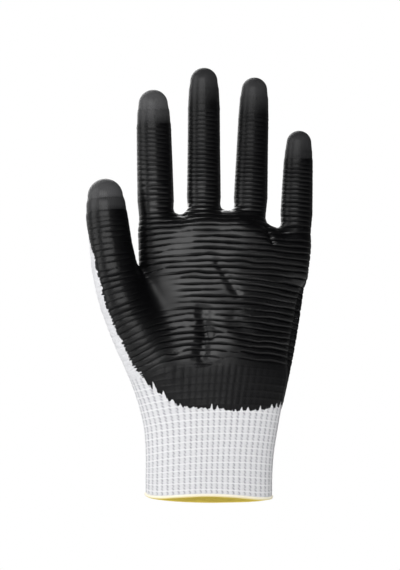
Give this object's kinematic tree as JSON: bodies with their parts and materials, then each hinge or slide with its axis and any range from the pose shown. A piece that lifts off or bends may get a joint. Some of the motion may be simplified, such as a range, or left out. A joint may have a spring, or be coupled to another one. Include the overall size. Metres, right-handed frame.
{
  "type": "coated knit work glove",
  "caption": "Left-hand knitted work glove with a dipped black palm and fingers, a long elastic cuff and an overlocked hem; the fingers and thumb fold.",
  "frame": {"origin": "centre of the cuff's open end, on the plane of the hem, where the hand goes in", "axes": "+Z from the cuff to the fingertips, -Y the palm side, +Y the back of the hand, -X the thumb side"},
  "size_m": [0.1275, 0.0365, 0.2448],
  "materials": {
    "white_knit": "matte ribbed knit",
    "black_nitrile": "semi-gloss dipped coating",
    "white_elastic": "satin yarn",
    "yellow_overlock": "matte overlock stitching"
  },
  "bodies": {
    "palm": {"palm_liner": "white_knit", "palm_coating": "black_nitrile", "knit_cuff": "white_knit", "cuff_elastic": "white_elastic", "hem_overlock": "yellow_overlock"},
    "index_proximal": {"index_proximal_liner": "white_knit", "index_proximal_coating": "black_nitrile"},
    "index_middle": {"index_middle_liner": "white_knit", "index_middle_coating": "black_nitrile"},
    "index_distal": {"index_distal_liner": "white_knit", "index_distal_coating": "black_nitrile"},
    "middle_proximal": {"middle_proximal_liner": "white_knit", "middle_proximal_coating": "black_nitrile"},
    "middle_middle": {"middle_middle_liner": "white_knit", "middle_middle_coating": "black_nitrile"},
    "middle_distal": {"middle_distal_liner": "white_knit", "middle_distal_coating": "black_nitrile"},
    "ring_proximal": {"ring_proximal_liner": "white_knit", "ring_proximal_coating": "black_nitrile"},
    "ring_middle": {"ring_middle_liner": "white_knit", "ring_middle_coating": "black_nitrile"},
    "ring_distal": {"ring_distal_liner": "white_knit", "ring_distal_coating": "black_nitrile"},
    "little_proximal": {"little_proximal_liner": "white_knit", "little_proximal_coating": "black_nitrile"},
    "little_middle": {"little_middle_liner": "white_knit", "little_middle_coating": "black_nitrile"},
    "little_distal": {"little_distal_liner": "white_knit", "little_distal_coating": "black_nitrile"},
    "thumb_proximal": {"thumb_proximal_liner": "white_knit", "thumb_proximal_coating": "black_nitrile"},
    "thumb_distal": {"thumb_distal_liner": "white_knit", "thumb_distal_coating": "black_nitrile"}
  },
  "joints": [
    {"name": "index_knuckle", "type": "hinge", "parent": "palm", "child": "index_proximal", "pos_m": [-0.02957, -0.00299, 0.16929], "axis": [0.9997, 0, 0.0262], "range_deg": [-10, 70], "stiffness_Nm_per_rad": 0.03},
    {"name": "index_middle_joint", "type": "hinge", "parent": "index_proximal", "child": "index_middle", "pos_m": [-0.03012, -0.00447, 0.19053], "axis": [0.9997, 0, 0.0262], "range_deg": [-6, 80], "stiffness_Nm_per_rad": 0.02},
    {"name": "index_end_joint", "type": "hinge", "parent": "index_middle", "child": "index_distal", "pos_m": [-0.03065, -0.00768, 0.21083], "axis": [0.9997, 0, 0.0262], "range_deg": [-3.6, 48], "stiffness_Nm_per_rad": 0.01},
    {"name": "middle_knuckle", "type": "hinge", "parent": "palm", "child": "middle_proximal", "pos_m": [-0.0029, -0.00299, 0.17179], "axis": [1, 0, 0], "range_deg": [-10, 70], "stiffness_Nm_per_rad": 0.03},
    {"name": "middle_middle_joint", "type": "hinge", "parent": "middle_proximal", "child": "middle_middle", "pos_m": [-0.0029, -0.00482, 0.19803], "axis": [1, 0, 0], "range_deg": [-6, 80], "stiffness_Nm_per_rad": 0.02},
    {"name": "middle_end_joint", "type": "hinge", "parent": "middle_middle", "child": "middle_distal", "pos_m": [-0.0029, -0.0085, 0.22132], "axis": [1, 0, 0], "range_deg": [-3.6, 48], "stiffness_Nm_per_rad": 0.01},
    {"name": "ring_knuckle", "type": "hinge", "parent": "palm", "child": "ring_proximal", "pos_m": [0.02299, -0.00299, 0.17129], "axis": [0.9994, 0, -0.0349], "range_deg": [-10, 70], "stiffness_Nm_per_rad": 0.03},
    {"name": "ring_middle_joint", "type": "hinge", "parent": "ring_proximal", "child": "ring_middle", "pos_m": [0.02384, -0.00468, 0.19553], "axis": [0.9994, 0, -0.0349], "range_deg": [-6, 80], "stiffness_Nm_per_rad": 0.02},
    {"name": "ring_end_joint", "type": "hinge", "parent": "ring_middle", "child": "ring_distal", "pos_m": [0.02458, -0.00805, 0.21683], "axis": [0.9994, 0, -0.0349], "range_deg": [-3.6, 48], "stiffness_Nm_per_rad": 0.01},
    {"name": "little_knuckle", "type": "hinge", "parent": "palm", "child": "little_proximal", "pos_m": [0.04954, -0.00299, 0.16179], "axis": [0.9994, 0, -0.0349], "range_deg": [-10, 70], "stiffness_Nm_per_rad": 0.03},
    {"name": "little_middle_joint", "type": "hinge", "parent": "little_proximal", "child": "little_middle", "pos_m": [0.05007, -0.00405, 0.17703], "axis": [0.9994, 0, -0.0349], "range_deg": [-6, 80], "stiffness_Nm_per_rad": 0.02},
    {"name": "little_end_joint", "type": "hinge", "parent": "little_middle", "child": "little_distal", "pos_m": [0.05055, -0.00623, 0.19083], "axis": [0.9994, 0, -0.0349], "range_deg": [-3.6, 48], "stiffness_Nm_per_rad": 0.01},
    {"name": "thumb_base_joint", "type": "hinge", "parent": "palm", "child": "thumb_proximal", "pos_m": [-0.05296, -0.00962, 0.142], "axis": [-0.6974, -0.7071, -0.1167], "range_deg": [-40, 10], "stiffness_Nm_per_rad": 0.03},
    {"name": "thumb_end_joint", "type": "hinge", "parent": "thumb_proximal", "child": "thumb_distal", "pos_m": [-0.05514, -0.01024, 0.15879], "axis": [-0.6974, -0.7071, -0.1167], "range_deg": [-55, 10], "stiffness_Nm_per_rad": 0.02}
  ],
  "couplings": [
    {"joint": "index_end_joint", "follows": "index_middle_joint", "ratio": 0.6},
    {"joint": "middle_end_joint", "follows": "middle_middle_joint", "ratio": 0.6},
    {"joint": "ring_end_joint", "follows": "ring_middle_joint", "ratio": 0.6},
    {"joint": "little_end_joint", "follows": "little_middle_joint", "ratio": 0.6}
  ]
}
